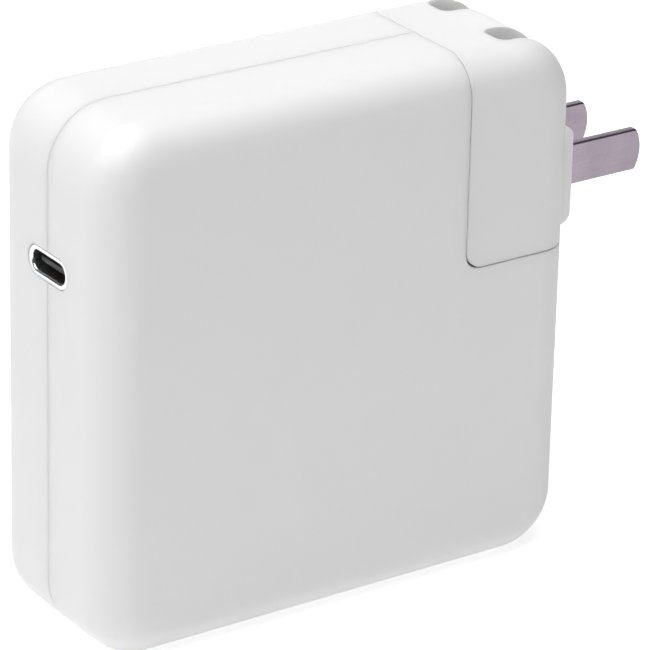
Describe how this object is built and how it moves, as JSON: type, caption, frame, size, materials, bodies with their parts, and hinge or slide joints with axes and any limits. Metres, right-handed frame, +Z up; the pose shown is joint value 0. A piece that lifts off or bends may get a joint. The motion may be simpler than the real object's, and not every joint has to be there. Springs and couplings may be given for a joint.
{
  "type": "laptop power adapter",
  "caption": "Square white laptop power adapter: slide-off corner plug head with folding mains blades, USB-C outlet in the narrow side.",
  "frame": {"origin": "middle of the narrow base face that the adapter stands on", "axes": "+X from the outlet side to the plug side, +Y from the front large face to the rear large face, +Z up"},
  "size_m": [0.097, 0.029, 0.08],
  "materials": {
    "white_shell": "satin gloss moulded polycarbonate",
    "inner_white": "fine matt moulded plastic",
    "blade_nickel": "nickel plated brass, brushed along the blade",
    "port_steel": "drawn stainless steel",
    "plain_steel": "zinc plated",
    "contact_brass": "plated brass",
    "copper": "bare copper",
    "board_green": "solder mask",
    "black_plastic": "moulded",
    "gold_contact": "gold plated",
    "can_sleeve": "shrink sleeve",
    "ferrite": "sintered",
    "yellow_tape": "tape",
    "blue_coat": "dipped",
    "spreader_copper": "rolled copper alloy",
    "insulating_film": "film",
    "aluminium": "mill finish",
    "thermal_grey": "soft pad"
  },
  "bodies": {
    "adapter": {"front_case": "white_shell", "rear_case": "white_shell", "bay_liner": "inner_white", "line_pin": "contact_brass", "neutral_pin": "contact_brass", "lock_stud": "plain_steel", "stud_nut": "plain_steel", "line_lead": "copper", "neutral_lead": "copper", "main_board": "board_green", "output_board": "board_green", "usb_shell": "port_steel", "usb_tongue": "black_plastic", "usb_contacts": "gold_contact", "bulk_capacitor": "can_sleeve", "transformer_core": "ferrite", "transformer_bobbin": "black_plastic", "transformer_winding": "yellow_tape", "choke_core": "ferrite", "choke_winding": "copper", "x_capacitor": "yellow_tape", "y_capacitor": "blue_coat", "fuse": "black_plastic", "varistor": "blue_coat", "bridge_rectifier": "black_plastic", "primary_heatsink": "aluminium", "switching_transistor": "black_plastic", "output_capacitors": "can_sleeve", "controller_chips": "black_plastic", "front_spreader": "spreader_copper", "rear_spreader": "spreader_copper", "front_insulator": "insulating_film", "rear_insulator": "insulating_film", "thermal_pad": "thermal_grey"},
    "plug_head": {"head_shell": "white_shell", "head_base": "inner_white", "stud_clip": "plain_steel", "line_socket": "contact_brass", "neutral_socket": "contact_brass", "line_contact": "copper", "neutral_contact": "copper", "hinge_pins": "plain_steel"},
    "prongs": {"prong_carrier": "white_shell", "line_blade": "blade_nickel", "neutral_blade": "blade_nickel"}
  },
  "joints": [
    {"name": "head_slide", "type": "slide", "parent": "adapter", "child": "plug_head", "axis": [0, 0, 1], "range_m": [0, 0.045]},
    {"name": "prong_fold", "type": "hinge", "parent": "plug_head", "child": "prongs", "pos_m": [0.034, 0, 0.0555], "axis": [0, -1, 0], "range_deg": [0, 90]}
  ]
}
